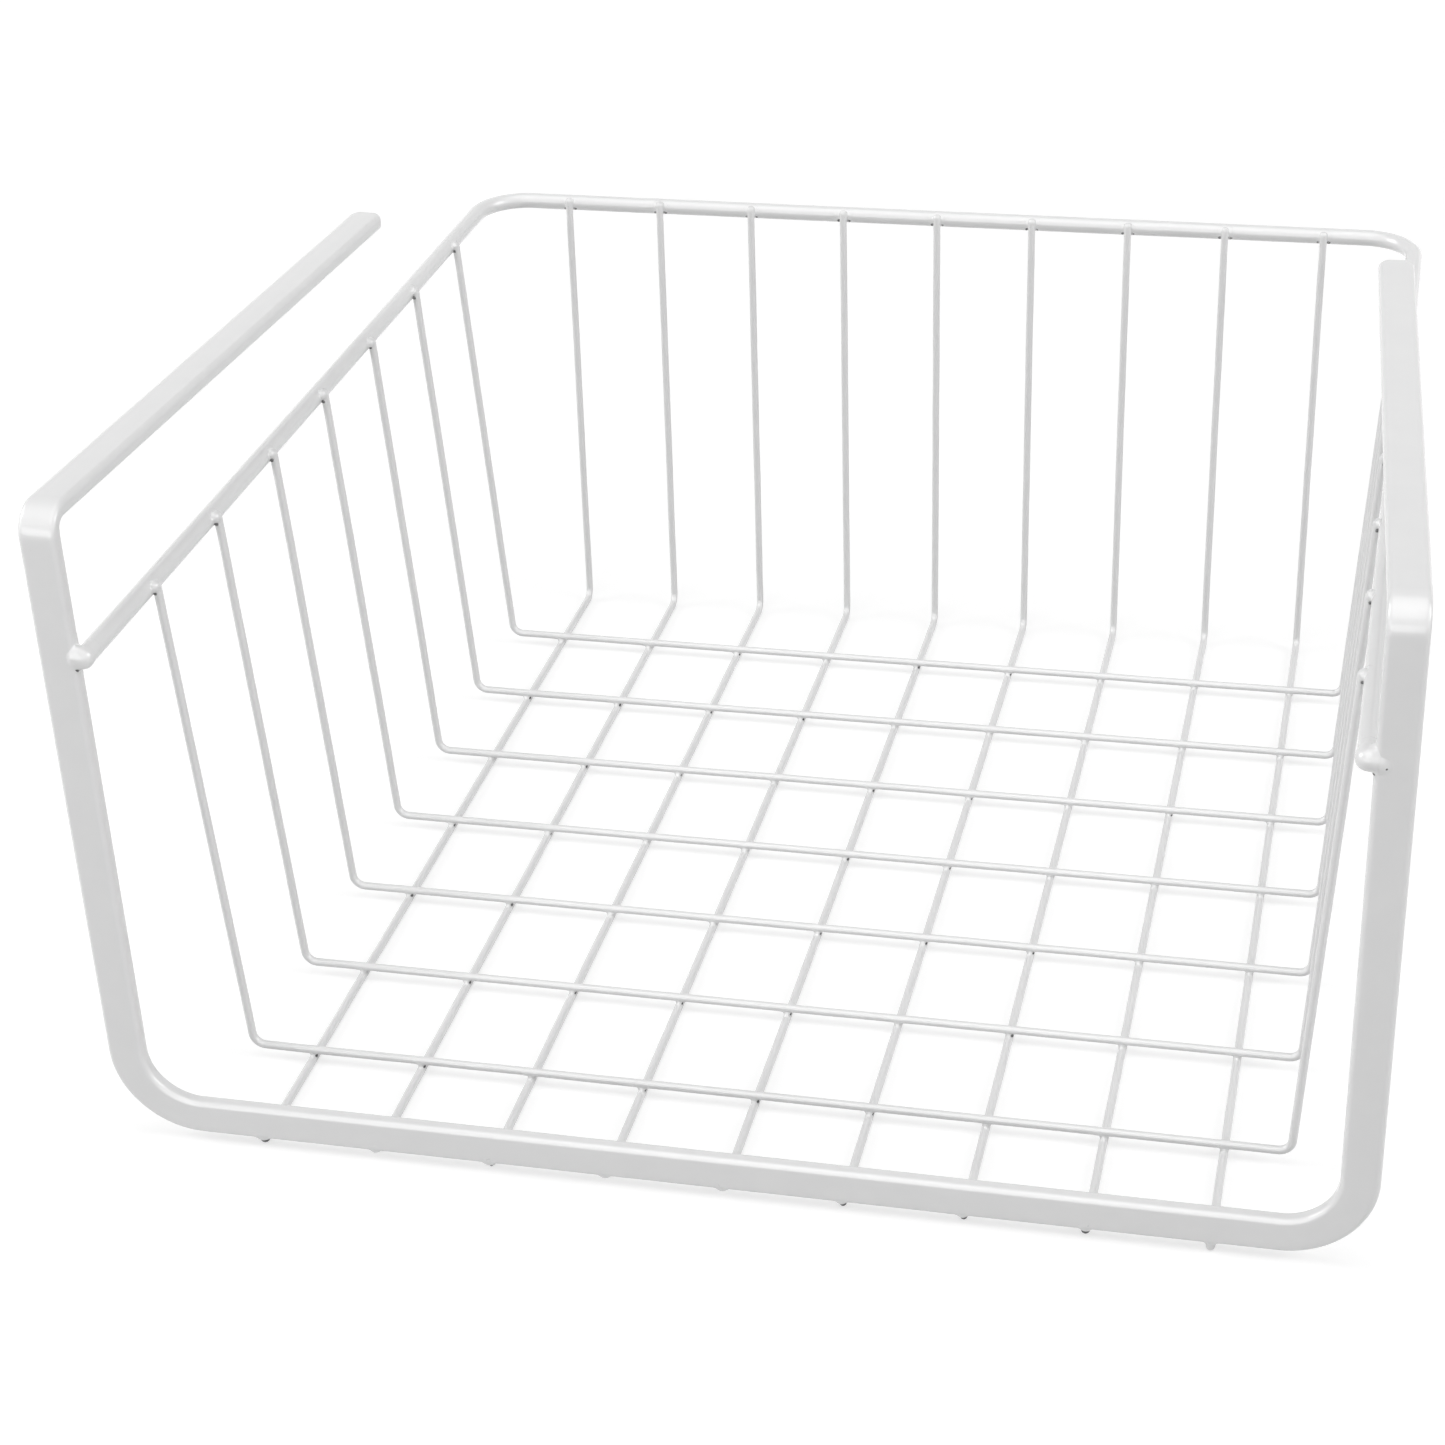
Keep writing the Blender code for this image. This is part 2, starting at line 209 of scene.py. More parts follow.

# The two rod end welds. Lumps: place outward from the leg's inner face, along the depth and
# above the rim's height, then radii and blend. Specks of painted shade: place and radius. All in
# millimetres
LEFT_END_LUMPS = (
    ((-1.4, -0.6, -0.3), (2.2, 1.8, 2.4), 1.6),
    ((0.3, -1.6, 0.3), (1.2, 1.0, 1.4), 1.4),
    ((-0.5, -0.9, 2.0), (1.1, 1.2, 1.0), 1.0),
)
LEFT_END_SPECKS = (((0.35, -1.3, -2.9), 0.5), ((0.85, -1.65, -2.95), 0.33))
RIGHT_END_LUMPS = (
    ((-1.5, -0.3, 0.0), (2.8, 3.0, 2.8), 1.2),
    ((0.9, -1.6, -0.8), (1.6, 1.1, 1.5), 1.4),
    ((-0.1, -0.4, 2.3), (1.0, 1.6, 1.0), 0.8),
)
RIGHT_END_SPECKS = (((0.1, -1.2, -3.2), 0.38), ((2.6, -2.2, -1.3), 0.24))

# How far round the rod's elbow the middle of a rod end weld lies
ROD_END_TURN = math.radians(60.0)

# Powder coat: its uneven tone, the dark tone of painted shade in specks and closed crevices,
# how far round a point a crevice's painted shade is felt, and how open a crevice is where its
# painted shade is full and where it ends
COAT_TONES = ((0.852, 0.852, 0.854, 1.0), (0.872, 0.872, 0.871, 1.0))
COAT_TONE_STOPS = (0.3, 0.72)
PAINTED_SHADE_TONE = (0.03, 0.03, 0.031, 1.0)
CREVICE_REACH = 1.6 * MM
CREVICE_OPEN = (0.16, 0.46)
CREVICE_SAMPLES = 8

# Its roughness, and the noise scales of tone, gloss, orange peel and the wider swell below it
COAT_ROUGHNESS = (0.29, 0.34)
GLOSS_STOPS = (0.3, 0.7)
TONE_SCALE = 90.0
GLOSS_SCALE = 240.0
PEEL_SCALE = 1500.0
SWELL_SCALE = 420.0
SWELL_SHARE = 2.2
RELIEF_HEIGHT = 0.02 * MM
RELIEF_STRENGTH = 0.3

# Lamps: name, place, aim, width, height and power in watts
OBJECT_MIDDLE = (0.0, 0.0, 0.06)
LAMPS = (
    ("panel", (-0.35, -1.5, 0.34), (-0.1, 0.0, 0.28), 1.6, 0.56, 5.6),
    ("key", (-0.2, -2.6, 3.4), OBJECT_MIDDLE, 2.2, 2.2, 21.0),
    ("top", (0.0, -0.3, 3.8), OBJECT_MIDDLE, 2.8, 2.8, 32.0),
    ("left", (-3.4, -0.25, 1.95), OBJECT_MIDDLE, 2.0, 2.0, 54.0),
    ("right", (3.4, -0.25, 1.95), OBJECT_MIDDLE, 2.0, 2.0, 54.0),
)

# White sky: how strongly it lights, how bright it shows in front and behind, and between
# which Y parts of the look direction it passes from the one to the other
SKY_LIGHT = 0.19
SKY_SEEN_IN_FRONT = 2.2
SKY_SEEN_BEHIND = 1.0
SKY_TURNS = (-0.3, 0.4)

# White paper under the basket: it catches the shadow near by and melts into the sky afar
FLOOR_HALF_SIDE = 8.0
FLOOR_DROP = 0.1 * MM
FLOOR_GREY = 0.5
FLOOR_GLOW = 0.63
FLOOR_GLOW_AFAR = 1.0
FLOOR_NEAR = 0.5
FLOOR_AFAR = 2.6

# Camera of the photograph, in its 1445 pixel frame
PHOTO_SIDE = 1445.0
CAMERA_PLACE = Vector((0.150515, -0.723658, 0.456507))
CAMERA_YAW = -0.227303
CAMERA_PITCH = -0.530403
CAMERA_ROLL = -0.033092
CAMERA_FOCUS_PX = 2962.54
CAMERA_CENTRE_PX = (790.0, 790.0)
SENSOR_MM = 36.0


# ---- routes and sweeps


def bent_route(corners, radii):
    """Evenly divided points along straight runs joined by arcs."""
    stops = [Vector(corners[0])]
    arcs = []
    for before, corner, after, radius in zip(corners, corners[1:], corners[2:], radii):
        corner = Vector(corner)
        inward = (Vector(before) - corner).normalized()
        outward = (Vector(after) - corner).normalized()
        turn = math.pi - inward.angle(outward)
        start = corner + inward * (radius * math.tan(turn / 2))
        centre = corner + (inward + outward).normalized() * (radius / math.cos(turn / 2))
        spoke = start - centre
        steps = max(3, round(turn / BEND_STEP))
        arc = []
        for step in range(steps + 1):
            angle = turn * step / steps
            arc.append(centre + spoke * math.cos(angle) - inward * radius * math.sin(angle))
        arcs.append(arc)
        stops.append(arc[0])
        stops.append(arc[-1])
    stops.append(Vector(corners[-1]))
    route = []
    for index in range(0, len(stops), 2):
        start, end = stops[index], stops[index + 1]
        steps = max(1, round((end - start).length / STRAIGHT_STEP))
        run = [start.lerp(end, step / steps) for step in range(steps + 1)]
        if route:
            run = run[1:]
        route += run
        if index // 2 < len(arcs):
            route += arcs[index // 2][1:]
    return route


def tangents(route):
    """The direction along the route at each of its points."""
    out = []
    for index in range(len(route)):
        before = route[max(0, index - 1)]
        after = route[min(len(route) - 1, index + 1)]
        out.append((after - before).normalized())
    return out


def carried_frames(route):
    """Frames carried along a route without twist."""
    along = tangents(route)
    across = along[0].orthogonal().normalized()
    frames = []
    for index, direction in enumerate(along):
        if index:
            turn = along[index - 1].rotation_difference(direction)
            across = turn @ across
        across = (across - direction * across.dot(direction)).normalized()
        frames.append((across, direction.cross(across)))
    return frames


def add_piece(name, mesh):
    """An object of the scene with this mesh."""
    piece = bpy.data.objects.new(name, mesh)
    bpy.context.scene.collection.objects.link(piece)
    return piece


def add_shape(name, shape):
    """A piece with the shape of a bmesh, which is freed."""
    mesh = bpy.data.meshes.new(name)
    shape.to_mesh(mesh)
    shape.free()
    return add_piece(name, mesh)


def skin(name, rings):
    """A closed piece over rings of the same number of points, moved to the row's frame."""
    shape = bmesh.new()
    loops = [[shape.verts.new(point + TO_ROW) for point in ring] for ring in rings]
    count = len(rings[0])
    for lower, upper in zip(loops, loops[1:]):
        for index in range(count):
            after = (index + 1) % count
            shape.faces.new((lower[index], lower[after], upper[after], upper[index]))
    shape.faces.new(loops[0][::-1])
    shape.faces.new(loops[-1])
    bmesh.ops.recalc_face_normals(shape, faces=shape.faces)
    piece = add_shape(name, shape)
    piece.data.shade_smooth()
    return piece


def waved(point, seed, size, per_metre):
    """A smooth wander of a point, the same on each run."""
    place = point * per_metre + Vector((seed * 7.31, seed * 3.17, seed * 5.93))
    return noise.noise_vector(place) * size


def round_sweep(name, route, radius, sides, seed, wave, blunt):
    """A round bar along a route. blunt is how far back from each tip the rounding goes."""
    total = sum((b - a).length for a, b in zip(route, route[1:]))
    if blunt:
        near_first = []
        near_last = []
        for step in range(1, WIRE_TIP_STEPS + 1):
            back = blunt * (1 - math.cos(math.pi / 2 * step / WIRE_TIP_STEPS))
            near_first.append(route[0].lerp(route[1], back / (route[1] - route[0]).length))
            near_last.append(route[-1].lerp(route[-2], back / (route[-2] - route[-1]).length))
        route = [route[0]] + near_first + route[1:-1] + near_last[::-1] + [route[-1]]
    frames = carried_frames(route)
    rings = []
    gone = 0.0
    for index, (centre, (across, up)) in enumerate(zip(route, frames)):
        if index:
            gone += (centre - route[index - 1]).length
        left = max(0.0, min(gone, total - gone))
        share = 1.0
        if index in (0, len(route) - 1) and blunt:
            share = WIRE_TIP_FACE
        elif left < blunt:
            bite = 1 - left / blunt
            share = WIRE_TIP_FLAT + (1 - WIRE_TIP_FLAT) * math.sqrt(max(0.0, 1 - bite * bite))
        middle = centre + waved(centre, seed, wave, WAVE_PER_METRE)
        ring = []
        for side in range(sides):
            angle = 2 * math.pi * side / sides
            spoke = across * math.cos(angle) + up * math.sin(angle)
            place = middle + spoke * (radius * share)
            swell = noise.noise(place * COAT_WAVE_PER_METRE + Vector((seed, 0.0, 0.0)))
            ring.append(place + spoke * (swell * COAT_WAVE))
        rings.append(ring)
    return skin(name, rings)


# ---- the pieces


def wall_tip(floor_corner, on_rod, rise):
    """The upper end of a wire that runs from the floor past its place on the rod."""
    along = (Vector(on_rod) - Vector(floor_corner)).normalized()
    return Vector(on_rod) + along * rise


def cross_wire_y(number):
    """Where a cross wire lies along the depth."""
    return CROSS_WIRE_FRONT_SETBACK + (number - 1) * CROSS_WIRE_PITCH


def long_wire_x(number):
    """Where a long wire lies across the width."""
    return (number - (LONG_WIRE_COUNT + 1) / 2) * LONG_WIRE_PITCH


def build_cross_wire(number):
    """A U of wire: up one wall, across the floor and up the other wall."""
    y = cross_wire_y(number)
    floor_corner = Vector((FLOOR_WIDTH / 2, y, CROSS_WIRE_Z))
    on_rod = Vector((RIM_WIDTH / 2 - WIRE_ON_ROD + WELD_SINK, y, RIM_HEIGHT))
    tip = wall_tip(floor_corner, on_rod, WIRE_TIP_RISE)
    mirrored = Vector((-1.0, 1.0, 1.0))
    corners = [tip * mirrored, floor_corner * mirrored, floor_corner, tip]
    route = bent_route(corners, (WIRE_BEND_RADIUS, WIRE_BEND_RADIUS))
    name = f"coated_cross_wire_{number}"
    return round_sweep(name, route, WIRE_RADIUS, WIRE_SIDES, number, WIRE_WAVE, WIRE_RADIUS)


def long_wire_end_y(number):
    """Where a long wire's front end stands under the bar."""
    shift = LONG_WIRE_END_SHIFTS[number - 1] * MM
    return LONG_WIRE_FRONT_INSET - BAR_THICKNESS / 2 - shift


def build_long_wire(number):
    """An L of wire: back along the floor and up the back wall."""
    x = long_wire_x(number)
    front = Vector((x, long_wire_end_y(number), LONG_WIRE_Z))
    floor_corner = Vector((x, FLOOR_DEPTH, LONG_WIRE_Z))
    on_rod = Vector((x, RIM_DEPTH - WIRE_ON_ROD + WELD_SINK, RIM_HEIGHT))
    tip = wall_tip(floor_corner, on_rod, BACK_TIP_RISE)
    route = bent_route([front, floor_corner, tip], (WIRE_BEND_RADIUS,))
    name = f"coated_long_wire_{number}"
    seed = number + CROSS_WIRE_COUNT
    return round_sweep(name, route, WIRE_RADIUS, WIRE_SIDES, seed, WIRE_WAVE, WIRE_RADIUS)


def cope_cutter(side):
    """The block that makes room for a leg and its seat gap in the rod's end."""
    inner, outer = ROD_CUT_X, ROD_CUT_X + COPE_SIDE
    front, back = -COPE_SIDE, BAR_THICKNESS / 2 + SEAT_GAP
    size = Vector((outer - inner, back - front, COPE_SIDE))
    middle = Vector((side * (inner + outer) / 2, (front + back) / 2, RIM_HEIGHT)) + TO_ROW
    shape = bmesh.new()
    bmesh.ops.create_cube(shape, size=1.0)
    for vert in shape.verts:
        vert.co = vert.co * size + middle
    return add_shape("cope", shape)


def build_rim_rod():
    """The rim rod, its turned-out ends coped to the legs as in the CAD."""
    half = RIM_WIDTH / 2
    stub_x = half + ROD_ELBOW_RADIUS + ROD_END_STUB
    corners = [
        (-stub_x, -ROD_END_FORWARD, RIM_HEIGHT),
        (-half, -ROD_END_FORWARD, RIM_HEIGHT),
        (-half, RIM_DEPTH, RIM_HEIGHT),
        (half, RIM_DEPTH, RIM_HEIGHT),
        (half, -ROD_END_FORWARD, RIM_HEIGHT),
        (stub_x, -ROD_END_FORWARD, RIM_HEIGHT),
    ]
    radii = (ROD_ELBOW_RADIUS, RIM_CORNER_RADIUS, RIM_CORNER_RADIUS, ROD_ELBOW_RADIUS)
    route = bent_route(corners, radii)
    rod = round_sweep("coated_rim_rod", route, ROD_RADIUS, ROD_SIDES, ROD_SEED, ROD_WAVE, 0.0)
    cutters = [cope_cutter(side) for side in (-1, 1)]
    for cutter in cutters:
        cut = rod.modifiers.new("cope", "BOOLEAN")
        cut.operation = "DIFFERENCE"
        cut.solver = "EXACT"
        cut.object = cutter
    graph = bpy.context.evaluated_depsgraph_get()
    coped = bpy.data.meshes.new_from_object(rod.evaluated_get(graph))
    rod.modifiers.clear()
    rod.data = coped
    for cutter in cutters:
        bpy.data.objects.remove(cutter)
    return rod


def bar_section(half_width, half_thick, edge):
    """Points round the flat bar's section, its flats divided too."""
    edge = min(edge, half_width, half_thick)
    web, face = half_width - edge, half_thick - edge
    corners = []
    for side_u, side_v, quarter in ((1, 1, 0), (-1, 1, 1), (-1, -1, 2), (1, -1, 3)):
        corner = []
        for step in range(BAR_CORNER_STEPS + 1):
            angle = math.pi / 2 * (quarter + step / BAR_CORNER_STEPS)
            corner.append(
                (side_u * web + edge * math.cos(angle), side_v * face + edge * math.sin(angle))
            )
        corners.append(corner)
    outline = []
    for corner, following in zip(corners, corners[1:] + corners[:1]):
        outline += corner
        start, end = corner[-1], following[0]
        for step in range(1, BAR_FLAT_STEPS):
            share = step / BAR_FLAT_STEPS
            outline.append(
                (start[0] + (end[0] - start[0]) * share, start[1] + (end[1] - start[1]) * share)
            )
    return outline


def hanger_places():
    """The hanger frame's centre line with the directions across its width and thickness."""
    corners = [
        (-ARM_TIP_X, ARM_LENGTH, ARM_Z),
        (-LEG_X, 0.0, ARM_Z),
        (-LEG_X, 0.0, BAR_Z),
        (LEG_X, 0.0, BAR_Z),
        (LEG_X, 0.0, ARM_Z),
        (ARM_TIP_X, ARM_LENGTH, ARM_Z),
    ]
    radii = (ARM_BEND_RADIUS, FRAME_CORNER_RADIUS, FRAME_CORNER_RADIUS, ARM_BEND_RADIUS)
    route = bent_route(corners, radii)
    leg_bottom = BAR_Z + FRAME_CORNER_RADIUS
    leg_top = ARM_Z - ARM_BEND_RADIUS
    sine, cosine = math.sin(ARM_TOE_ANGLE), math.cos(ARM_TOE_ANGLE)
    places = []
    for place, along in zip(route, tangents(route)):
        side = -1.0 if place.x < 0 else 1.0
        if place.z > leg_top + MM / 100:
            across = Vector((side * cosine, sine, 0.0))
            through = across.cross(along)
        else:
            rise = min(1.0, max(0.0, (place.z - leg_bottom) / (leg_top - leg_bottom)))
            angle = ARM_TOE_ANGLE * rise
            through = Vector((side * math.sin(angle), -math.cos(angle), 0.0))
            across = along.cross(through)
        places.append((place, across.normalized(), through.normalized()))
    return places


def bend_squeeze(lean):
    """How far the inner face of an arm bend is drawn to the outer one, by the face's lean."""
    inner = ARM_BEND_RADIUS - BAR_THICKNESS / 2
    straight = inner - ARM_BEND_INNER_RADIUS
    small, large = sorted((math.sin(lean), math.cos(lean)))
    if small * inner <= large * straight:
        return inner / large - inner
    toward = straight * (small + large)
    spread = toward * toward - 2 * straight * straight + ARM_BEND_INNER_RADIUS**2
    return toward + math.sqrt(spread) - inner


def rounding(back, radius):
    """How far a rounded end has drawn in, so far back from its tip."""
    bite = max(0.0, 1 - back / radius)
    return radius * (1 - math.sqrt(1 - bite * bite))


def build_hanger_frame():
    """The flat bar, its arm tips rounded and its arm bends thinned on the inside."""
    places = hanger_places()
    turns = [math.pi / 2 * step / ARM_TIP_STEPS for step in range(ARM_TIP_STEPS + 1)]
    tip_backs = [ARM_TIP_RADIUS * (1 - math.cos(turn)) for turn in turns]

    def tip(end, neighbour):
        place, across, through = end
        inward = (neighbour[0] - place).normalized()
        return [(place + inward * back, across, through, back) for back in tip_backs]

    fine = tip(places[0], places[1])
    fine += [(place, across, through, ARM_LENGTH) for place, across, through in places[1:-1]]
    fine += tip(places[-1], places[-2])[::-1]
    rings = []
    for place, across, through, back in fine:
        edge_cut = rounding(back, ARM_TIP_EDGE)
        wide = BAR_WIDTH / 2 - rounding(back, ARM_TIP_RADIUS) - edge_cut / 2
        thick = BAR_THICKNESS / 2 - edge_cut
        middle = place + waved(place, HANGER_SEED, BAR_WAVE, WAVE_PER_METRE)
        lean = math.asin(min(1.0, max(0.0, through.z)))
        keep = 1 - bend_squeeze(lean) / BAR_THICKNESS
        ring = []
        for wide_at, thick_at in bar_section(wide, thick, BAR_EDGE_RADIUS):
            thick_at = thick - (thick - thick_at) * keep
            spot = middle + across * wide_at + through * thick_at
            swell = noise.noise(spot * BAR_COAT_WAVE_PER_METRE)
            outward = (across * wide_at + through * thick_at).normalized()
            ring.append(spot + outward * (swell * COAT_WAVE))
        rings.append(ring)
    return skin("coated_hanger_frame", rings)


# ---- welds: the smooth union of the pieces that meet, seen from the weld's centre


def smooth_min(first, second, reach):
    """The union of two distances, with a fillet where they differ by less than the reach."""
    share = np.maximum(reach - np.abs(first - second), 0.0) / reach
    return np.minimum(first, second) - share * share * reach / 4


def to_capsule(points, start, end, radius):
    """Distance to a round bar with ball ends."""
    start, end = np.array(start), np.array(end)
    axis = end - start
    offset = points - start
    share = np.clip(offset @ axis / (axis @ axis), 0.0, 1.0)
    return np.linalg.norm(offset - share[:, None] * axis, axis=1) - radius


def to_ellipsoid(points, centre, radii):
    """About the distance to an ellipsoid, and none at its surface."""
    scaled = (points - np.array(centre)) / np.array(radii)
    length = np.linalg.norm(scaled, axis=1)
    return (length - 1.0) * min(radii)


def to_bar(points, centre, half_first, half_second, edge, axes):
    """Distance to an endless flat bar whose section lies in the two named axes."""
    offset = points - np.array(centre)
    first = np.abs(offset[:, axes[0]]) - (half_first - edge)
    second = np.abs(offset[:, axes[1]]) - (half_second - edge)
    outside = np.hypot(np.maximum(first, 0.0), np.maximum(second, 0.0))
    return outside + np.minimum(np.maximum(first, second), 0.0) - edge


def to_elbow(points, side):
    """Distance to the rod's turned-out end on one side, with its straight run."""
    half = RIM_WIDTH / 2
    centre_y = ROD_ELBOW_RADIUS - ROD_END_FORWARD
    x = points[:, 0] * side
    across = x - (half + ROD_ELBOW_RADIUS)
    along = points[:, 1] - centre_y
    ring = np.hypot(across, along) - ROD_ELBOW_RADIUS
    torus = np.hypot(ring, points[:, 2] - RIM_HEIGHT) - ROD_RADIUS
    torus = np.where((across < 0.0) & (along < 0.0), torus, 1.0)
    straight = to_capsule(
        np.stack([x, points[:, 1], points[:, 2]], axis=1),
        (half, centre_y, RIM_HEIGHT),
        (half, centre_y + ROD_END_RUN, RIM_HEIGHT),
        ROD_RADIUS,
    )
    return np.minimum(torus, straight)


SPHERES = {}


def sphere(divisions):
    """The points and faces of a round ball of radius 1, made once for each division."""
    if divisions not in SPHERES:
        shape = bmesh.new()
        bmesh.ops.create_icosphere(shape, subdivisions=divisions, radius=1.0)
        shape.verts.ensure_lookup_table()
        points = np.array([vert.co[:] for vert in shape.verts])
        faces = [[vert.index for vert in face.verts] for face in shape.faces]
        shape.free()
        SPHERES[divisions] = (points, faces)
    return SPHERES[divisions]


def weld_shell(distance, centre, reach, divisions, shade_specks):
    """Where rays from the centre leave the union, or the reach where they stay inside.

    Each speck given is the place and radius of a dark speck of painted shade.
    """

    def union(points):
        value = distance(points)
        for place, radius in shade_specks:
            speck = np.linalg.norm(points - np.array(place), axis=1) - radius
            value = np.minimum(value, speck)
        return value

    rays, faces = sphere(divisions)
    centre = np.array(centre)
    low = np.zeros(len(rays))
    high = np.full(len(rays), reach)
    inside = np.ones(len(rays), dtype=bool)
    for step in range(1, WELD_STEPS + 1):
        travel = reach * step / WELD_STEPS
        value = union(centre + rays * travel)
        leaves = inside & (value > 0.0)
        low[leaves] = travel - reach / WELD_STEPS
        high[leaves] = travel
        inside &= ~leaves
    low[inside] = reach
    for _ in range(WELD_HALVINGS):
        middle = (low + high) / 2
        value = union(centre + rays * middle[:, None])
        out = value > 0.0
        high = np.where(out & ~inside, middle, high)
        low = np.where(~out & ~inside, middle, low)
    travel = np.maximum(low - WELD_INSET, reach * WELD_LEAST_SHARE)
    points = centre + rays * travel[:, None]
    painted_shade = np.zeros(len(points))
    for place, radius in shade_specks:
        apart = np.linalg.norm(points - np.array(place), axis=1) / radius
        shown = (SHADE_SPECK_EDGE - apart) / (SHADE_SPECK_EDGE - SHADE_SPECK_FULL)
        painted_shade = np.maximum(painted_shade, np.clip(shown, 0.0, 1.0))
    return points, faces, painted_shade


def build_welds(name, shells):
    """One piece of several shells, with how much painted shade each point has."""
    points = []
    faces = []
    painted_shade = []
    for shell_points, shell_faces, shell_shade in shells:
        base = len(points)
        points += [Vector(point) + TO_ROW for point in shell_points.tolist()]
        faces += [[base + index for index in face] for face in shell_faces]
        painted_shade += shell_shade.tolist()
    mesh = bpy.data.meshes.new(name)
    mesh.from_pydata(points, [], faces)
    mesh.attributes.new("painted_shade", "FLOAT", "POINT").data.foreach_set("value", painted_shade)
    mesh.shade_smooth()
    return add_piece(name, mesh)


def crossing_weld(row, column, chance):
    """Where a cross wire lies on a long wire."""
    x, y = long_wire_x(column), cross_wire_y(row)
    middle_z = (LONG_WIRE_Z + CROSS_WIRE_Z) / 2
    fat = chance.uniform(*CROSSING_FAT_RANGE)
    lean_x = chance.uniform(*CROSSING_LEAN_RANGE) * MM
    lean_y = chance.uniform(*CROSSING_LEAN_RANGE) * MM
    blend = chance.uniform(*CROSSING_BLEND_RANGE) * MM
    shade_specks = []
    # A dark speck painted as shade, low at the front right of the crossing
    if chance.random() < (SPECK_CHANCE if column <= SPECKED_LONG_WIRES else SPECK_CHANCE_BEYOND):
        place = (x + 0.78 * MM, y - 0.35 * MM, middle_z - 0.3 * MM)
        shade_specks.append((place, chance.uniform(*CROSSING_SPECK_RANGE) * MM))
    long_ends = ((x, y - CROSSING_RUN, LONG_WIRE_Z), (x, y + CROSSING_RUN, LONG_WIRE_Z))
    cross_ends = ((x - CROSSING_RUN, y, CROSS_WIRE_Z), (x + CROSSING_RUN, y, CROSS_WIRE_Z))
    nugget_place = (x + lean_x, y + lean_y, middle_z)
    nugget_radii = (1.15 * MM * fat, 1.15 * MM * fat, 0.7 * MM)

    def distance(points):
        lower = to_capsule(points, *long_ends, WIRE_RADIUS)
        upper = to_capsule(points, *cross_ends, WIRE_RADIUS)
        nugget = to_ellipsoid(points, nugget_place, nugget_radii)
        return smooth_min(smooth_min(lower, upper, blend), nugget, CROSSING_NUGGET_BLEND)

    return weld_shell(distance, (x, y, middle_z), CROSSING_REACH, WELD_DIVISIONS, shade_specks)


def tip_weld(tip, on_rod, rod_ends, centre, nugget_place, nugget_radii, blend, shade_specks):
    """Where a wire's upper end leans on the rim rod."""
    up = (tip - on_rod).normalized()
    wire_ends = (tuple(on_rod - up * TIP_RUN), tuple(tip - up * WIRE_RADIUS))

    def distance(points):
        wire = to_capsule(points, *wire_ends, WIRE_RADIUS)
        rod = to_capsule(points, *rod_ends, ROD_RADIUS)
        nugget = to_ellipsoid(points, nugget_place, nugget_radii)
        return smooth_min(smooth_min(wire, rod, blend), nugget, TIP_NUGGET_BLEND)

    return weld_shell(distance, centre, TIP_REACH, WELD_DIVISIONS, shade_specks)


def side_tip_weld(row, side, chance):
    """A cross wire's end on the rod's left or right run."""
    y = cross_wire_y(row)
    fat = chance.uniform(*TIP_FAT_RANGE)
    drop = chance.uniform(*TIP_DROP_RANGE) * MM
    blend = chance.uniform(*SIDE_TIP_BLEND_RANGE) * MM
    rod_x = side * RIM_WIDTH / 2
    rod_ends = ((rod_x, y - TIP_RUN, RIM_HEIGHT), (rod_x, y + TIP_RUN, RIM_HEIGHT))
    on_rod = Vector((rod_x - side * (WIRE_ON_ROD - WELD_SINK), y, RIM_HEIGHT))
    tip = wall_tip((side * FLOOR_WIDTH / 2, y, CROSS_WIRE_Z), on_rod, WIRE_TIP_RISE)
    weld_x = rod_x - side * TIP_WELD_INSET
    # A dark speck painted as shade below the tip, in front of the wire
    shade_spot = (weld_x - side * 0.5 * MM, y - 1.15 * MM, RIM_HEIGHT - 0.95 * MM)
    shade_specks = [(shade_spot, chance.uniform(*SIDE_TIP_SPECK_RANGE) * MM)]
    nugget_place = (weld_x - side * 0.4 * MM, y - 0.3 * MM, RIM_HEIGHT + 0.7 * MM + drop)
    nugget_radii = (1.2 * MM * fat, 1.6 * MM * fat, 1.35 * MM * fat)
    centre = (weld_x, y, RIM_HEIGHT)
    return tip_weld(tip, on_rod, rod_ends, centre, nugget_place, nugget_radii, blend, shade_specks)


def back_tip_weld(column, chance):
    """A long wire's end on the rod's rear run."""
    x = long_wire_x(column)
    fat = chance.uniform(*TIP_FAT_RANGE)
    drop = chance.uniform(*TIP_DROP_RANGE) * MM
    blend = chance.uniform(*BACK_TIP_BLEND_RANGE) * MM
    rod_ends = ((x - TIP_RUN, RIM_DEPTH, RIM_HEIGHT), (x + TIP_RUN, RIM_DEPTH, RIM_HEIGHT))
    on_rod = Vector((x, RIM_DEPTH - (WIRE_ON_ROD - WELD_SINK), RIM_HEIGHT))
    tip = wall_tip((x, FLOOR_DEPTH, LONG_WIRE_Z), on_rod, BACK_TIP_RISE)
    weld_y = RIM_DEPTH - TIP_WELD_INSET
    shade_specks = []
    # Dark specks painted as shade either side of the wire, below the rod's middle
    for side in (-1, 1):
        shade_spot = (x + side * 1.55 * MM, weld_y - 0.05 * MM, RIM_HEIGHT - 1.45 * MM)
        shade_specks.append((shade_spot, chance.uniform(*BACK_TIP_SPECK_RANGE) * MM))
    nugget_place = (x, weld_y - 0.2 * MM, RIM_HEIGHT + 0.8 * MM + drop)
    nugget_radii = (1.3 * MM * fat, 0.9 * MM, 1.1 * MM * fat)
    centre = (x, weld_y, RIM_HEIGHT)
    return tip_weld(tip, on_rod, rod_ends, centre, nugget_place, nugget_radii, blend, shade_specks)


